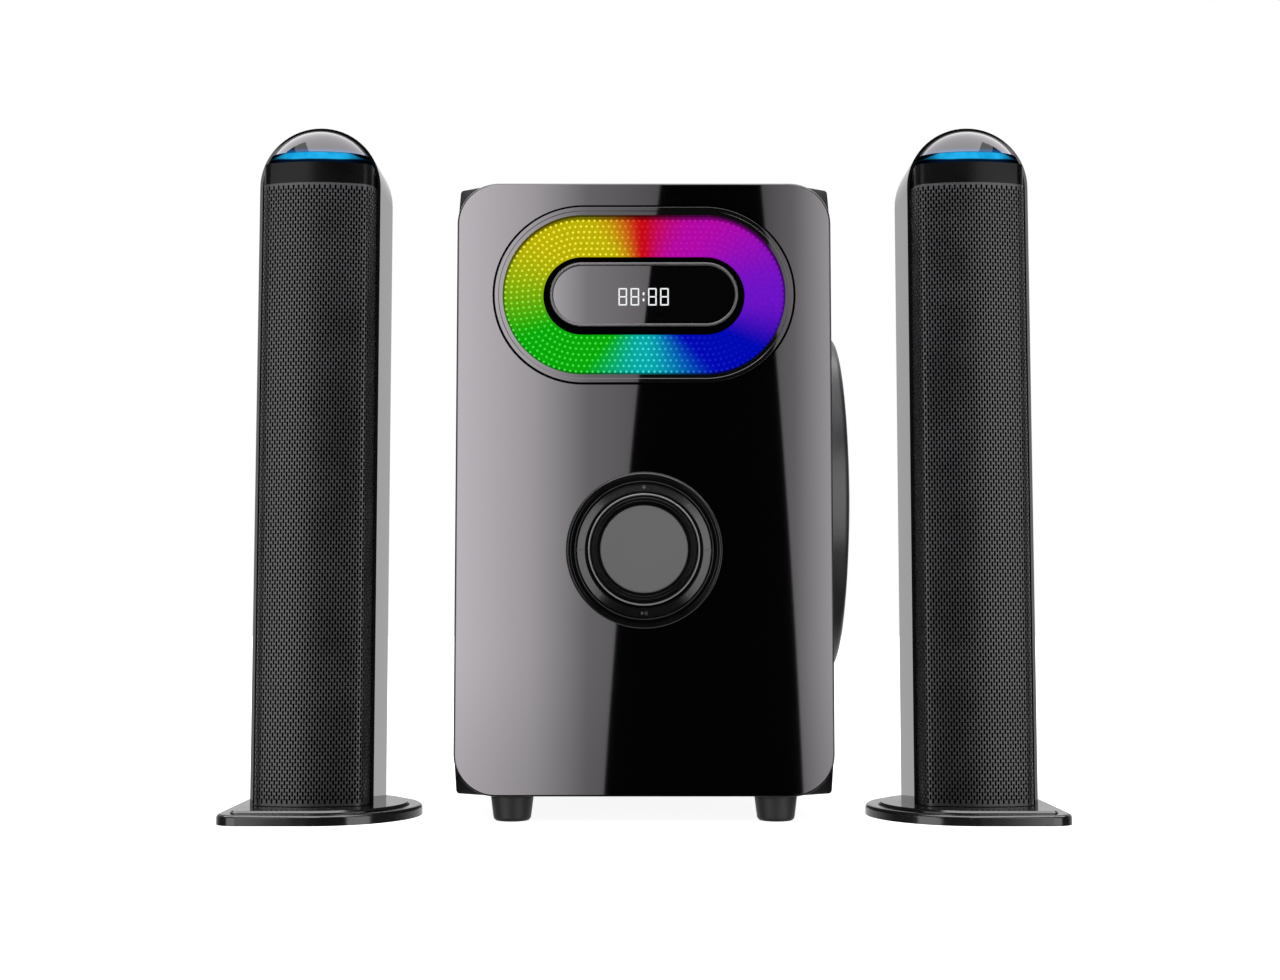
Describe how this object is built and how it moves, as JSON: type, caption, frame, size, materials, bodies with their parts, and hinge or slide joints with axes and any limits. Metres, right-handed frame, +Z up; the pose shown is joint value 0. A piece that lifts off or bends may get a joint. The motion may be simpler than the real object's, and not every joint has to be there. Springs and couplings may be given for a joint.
{
  "type": "desktop speaker set",
  "caption": "Subwoofer with a lit ring, clock display and volume knob on a gloss front, flanked by two slim arched speaker towers on wide bases.",
  "frame": {"origin": "bottom centre of the whole set's box, on the desk", "axes": "+Z up, +X to the right of someone facing the set, -Y out of the fronts"},
  "size_m": [0.449, 0.3, 0.38],
  "materials": {
    "cabinet_vinyl": "black grained vinyl on board",
    "panel_gloss": "mirror-polished black acrylic",
    "frame_satin": "fine satin black",
    "trim_gloss": "gloss charcoal",
    "light_ring": "lit rainbow diffuser with raised dots",
    "display_glass": "tinted gloss window",
    "display_digits": "white lit digits on a board",
    "circuit_board": "green solder resist",
    "bezel_gloss": "gloss black",
    "key_satin": "gloss black with pale icons",
    "knob_gloss": "gloss black, turned rings",
    "knob_mirror": "dark mirror",
    "turned_steel": "turned",
    "screw_black": "black oxide",
    "basket_paint": "satin black paint",
    "magnet_iron": "bare ferrite and plated steel",
    "cone_paper": "pressed pulp",
    "surround_rubber": "soft matt",
    "spider_cloth": "resin-stiffened cloth",
    "grille_mesh": "perforated sheet, satin black",
    "plate_paint": "fine textured black paint",
    "jack_metal": "gold-plated",
    "socket_black": "moulded black",
    "port_black": "moulded satin black",
    "foot_rubber": "matt black rubber",
    "shell_gloss": "gloss charcoal",
    "band_satin": "satin black",
    "blue_light": "lit blue",
    "lens_gloss": "smoked gloss",
    "base_satin": "satin black, polished edge"
  },
  "bodies": {
    "root": {"sub_cabinet": "cabinet_vinyl", "sub_front_frame": "frame_satin", "sub_front_panel": "panel_gloss", "sub_feet": "foot_rubber", "light_trim": "trim_gloss", "light_diffuser": "light_ring", "light_board": "circuit_board", "display_pod": "trim_gloss", "display_window": "display_glass", "display_module": "display_digits", "control_bezel": "bezel_gloss", "encoder": "turned_steel", "control_board": "circuit_board", "board_screws": "screw_black", "woofer_basket": "basket_paint", "woofer_magnet": "magnet_iron", "woofer_surround": "surround_rubber", "woofer_spider": "spider_cloth", "woofer_grille": "grille_mesh", "cabinet_screws": "screw_black", "rear_plate": "plate_paint", "amp_board": "circuit_board", "rca_jacks": "jack_metal", "mains_inlet": "socket_black", "rocker_housing": "socket_black", "bass_port": "port_black", "transformer": "magnet_iron"},
    "volume_knob": {"volume_knob": "knob_gloss", "knob_cap": "knob_mirror", "encoder_shaft": "turned_steel"},
    "key_ring": {"key_ring": "key_satin"},
    "power_rocker": {"power_rocker": "socket_black"},
    "woofer_cone": {"woofer_cone": "cone_paper", "woofer_dust_cap": "cone_paper"},
    "left_tower": {"left_shell": "shell_gloss", "left_front_frame": "shell_gloss", "left_grille": "grille_mesh", "left_grille_cap": "band_satin", "left_light_guide": "blue_light", "left_top_lens": "lens_gloss", "left_base_plate": "base_satin", "left_base_screws": "screw_black", "left_line_jack": "jack_metal", "left_upper_driver": "basket_paint", "left_lower_driver": "basket_paint"},
    "left_upper_cone": {"left_upper_cone": "cone_paper"},
    "left_lower_cone": {"left_lower_cone": "cone_paper"},
    "right_tower": {"right_shell": "shell_gloss", "right_front_frame": "shell_gloss", "right_grille": "grille_mesh", "right_grille_cap": "band_satin", "right_light_guide": "blue_light", "right_top_lens": "lens_gloss", "right_base_plate": "base_satin", "right_base_screws": "screw_black", "right_line_jack": "jack_metal", "right_upper_driver": "basket_paint", "right_lower_driver": "basket_paint"},
    "right_upper_cone": {"right_upper_cone": "cone_paper"},
    "right_lower_cone": {"right_lower_cone": "cone_paper"}
  },
  "joints": [
    {"name": "volume_turn", "type": "hinge", "parent": "root", "child": "volume_knob", "pos_m": [0, -0.136, 0.1435], "axis": [0, -1, 0], "continuous": true},
    {"name": "key_press", "type": "slide", "parent": "root", "child": "key_ring", "axis": [0, 1, 0], "range_m": [0, 0.0006], "stiffness_N_per_m": 1500},
    {"name": "power_rock", "type": "hinge", "parent": "root", "child": "power_rocker", "pos_m": [0.028, 0.138, 0.066], "axis": [1, 0, 0], "range_deg": [0, 14]},
    {"name": "woofer_stroke", "type": "slide", "parent": "root", "child": "woofer_cone", "axis": [1, 0, 0], "range_m": [-0.005, 0.005], "stiffness_N_per_m": 1500},
    {"name": "left_tower_slide", "type": "slide", "parent": "root", "child": "left_tower", "axis": [1, 0, 0], "range_m": [-0.25, 0]},
    {"name": "left_upper_stroke", "type": "slide", "parent": "left_tower", "child": "left_upper_cone", "axis": [0, -1, 0], "range_m": [-0.0015, 0.0015], "stiffness_N_per_m": 1500},
    {"name": "left_lower_stroke", "type": "slide", "parent": "left_tower", "child": "left_lower_cone", "axis": [0, -1, 0], "range_m": [-0.0015, 0.0015], "stiffness_N_per_m": 1500},
    {"name": "right_tower_slide", "type": "slide", "parent": "root", "child": "right_tower", "axis": [1, 0, 0], "range_m": [0, 0.25]},
    {"name": "right_upper_stroke", "type": "slide", "parent": "right_tower", "child": "right_upper_cone", "axis": [0, -1, 0], "range_m": [-0.0015, 0.0015], "stiffness_N_per_m": 1500},
    {"name": "right_lower_stroke", "type": "slide", "parent": "right_tower", "child": "right_lower_cone", "axis": [0, -1, 0], "range_m": [-0.0015, 0.0015], "stiffness_N_per_m": 1500}
  ],
  "couplings": [
    {"joint": "left_lower_stroke", "follows": "left_upper_stroke", "ratio": 1},
    {"joint": "right_lower_stroke", "follows": "right_upper_stroke", "ratio": 1}
  ]
}
